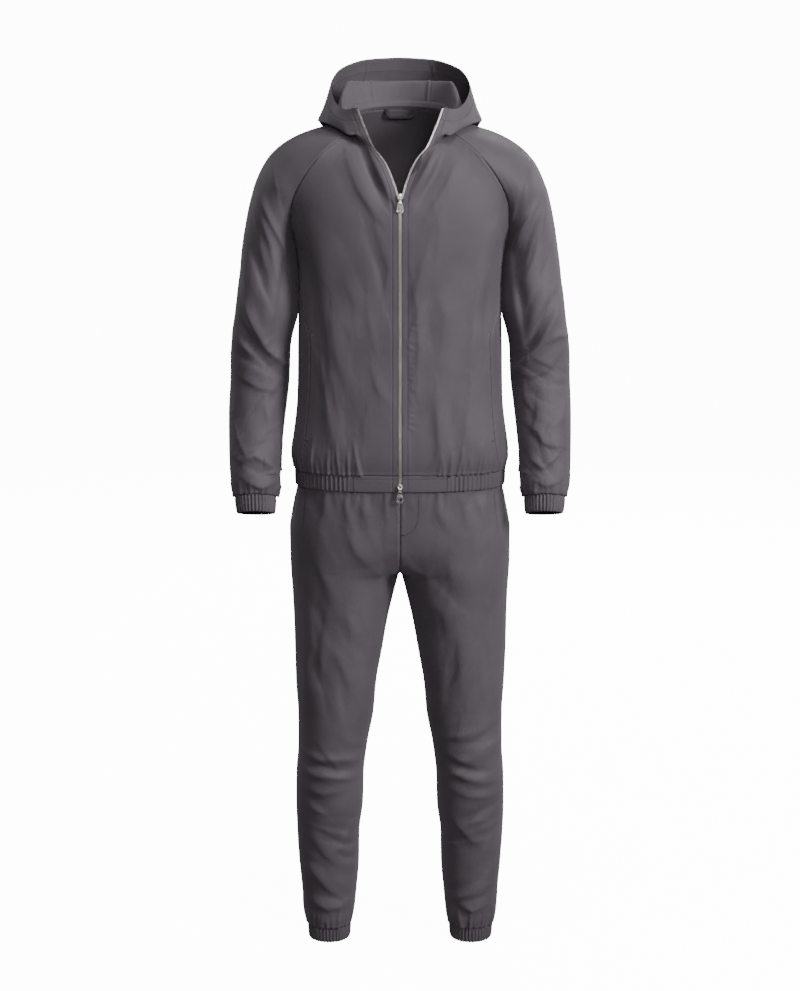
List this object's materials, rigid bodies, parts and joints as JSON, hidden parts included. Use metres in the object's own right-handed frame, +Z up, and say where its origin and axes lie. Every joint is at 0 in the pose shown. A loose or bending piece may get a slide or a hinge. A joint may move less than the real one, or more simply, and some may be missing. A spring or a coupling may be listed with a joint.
{
  "type": "hooded tracksuit",
  "caption": "Hooded tracksuit worn hollow: raglan jacket with a two-way metal zip, gathered hem and cuffs, and slim trousers gathered at the ankles.",
  "frame": {"origin": "the middle of the neck base, where the wearer's shoulders carry the jacket", "axes": "+Z up, the front faces -Y, and the wearer's left is +X"},
  "size_m": [0.611, 0.3294, 1.6143],
  "materials": {
    "cloth": "matt smooth woven stretch cloth, warm dark grey",
    "gathered_band": "the same cloth gathered on elastic",
    "tape": "matt woven tape, dark grey",
    "zip_metal": "satin nickel"
  },
  "bodies": {
    "garment": {"ankle_left": "gathered_band", "ankle_right": "gathered_band", "back": "cloth", "cuff_left": "gathered_band", "cuff_right": "gathered_band", "front_left": "cloth", "front_right": "cloth", "hanger_loop": "tape", "hem_back": "gathered_band", "hem_front_left": "gathered_band", "hem_front_right": "gathered_band", "hood_centre": "cloth", "hood_left": "cloth", "hood_right": "cloth", "leg_back_left": "cloth", "leg_back_right": "cloth", "leg_front_left": "cloth", "leg_front_right": "cloth", "neck_tape": "tape", "sleeve_back_left": "cloth", "sleeve_back_right": "cloth", "sleeve_front_left": "cloth", "sleeve_front_right": "cloth", "slider_bottom": "zip_metal", "slider_top": "zip_metal", "waistband": "gathered_band", "welt_left": "cloth", "welt_right": "cloth", "zip_chain": "zip_metal", "zip_tape_left": "tape", "zip_tape_right": "tape", "zip_teeth_left": "zip_metal", "zip_teeth_right": "zip_metal"},
    "pull_top": {"pull_top": "zip_metal"},
    "pull_bottom": {"pull_bottom": "zip_metal"}
  },
  "joints": [
    {"name": "pull_top_swing", "type": "hinge", "parent": "garment", "child": "pull_top", "pos_m": [0, -0.1357, -0.1585], "axis": [-1, 0, 0], "range_deg": [0, 165]},
    {"name": "pull_bottom_swing", "type": "hinge", "parent": "garment", "child": "pull_bottom", "pos_m": [0, -0.12975, -0.6645], "axis": [-1, 0, 0], "range_deg": [0, 165]}
  ]
}
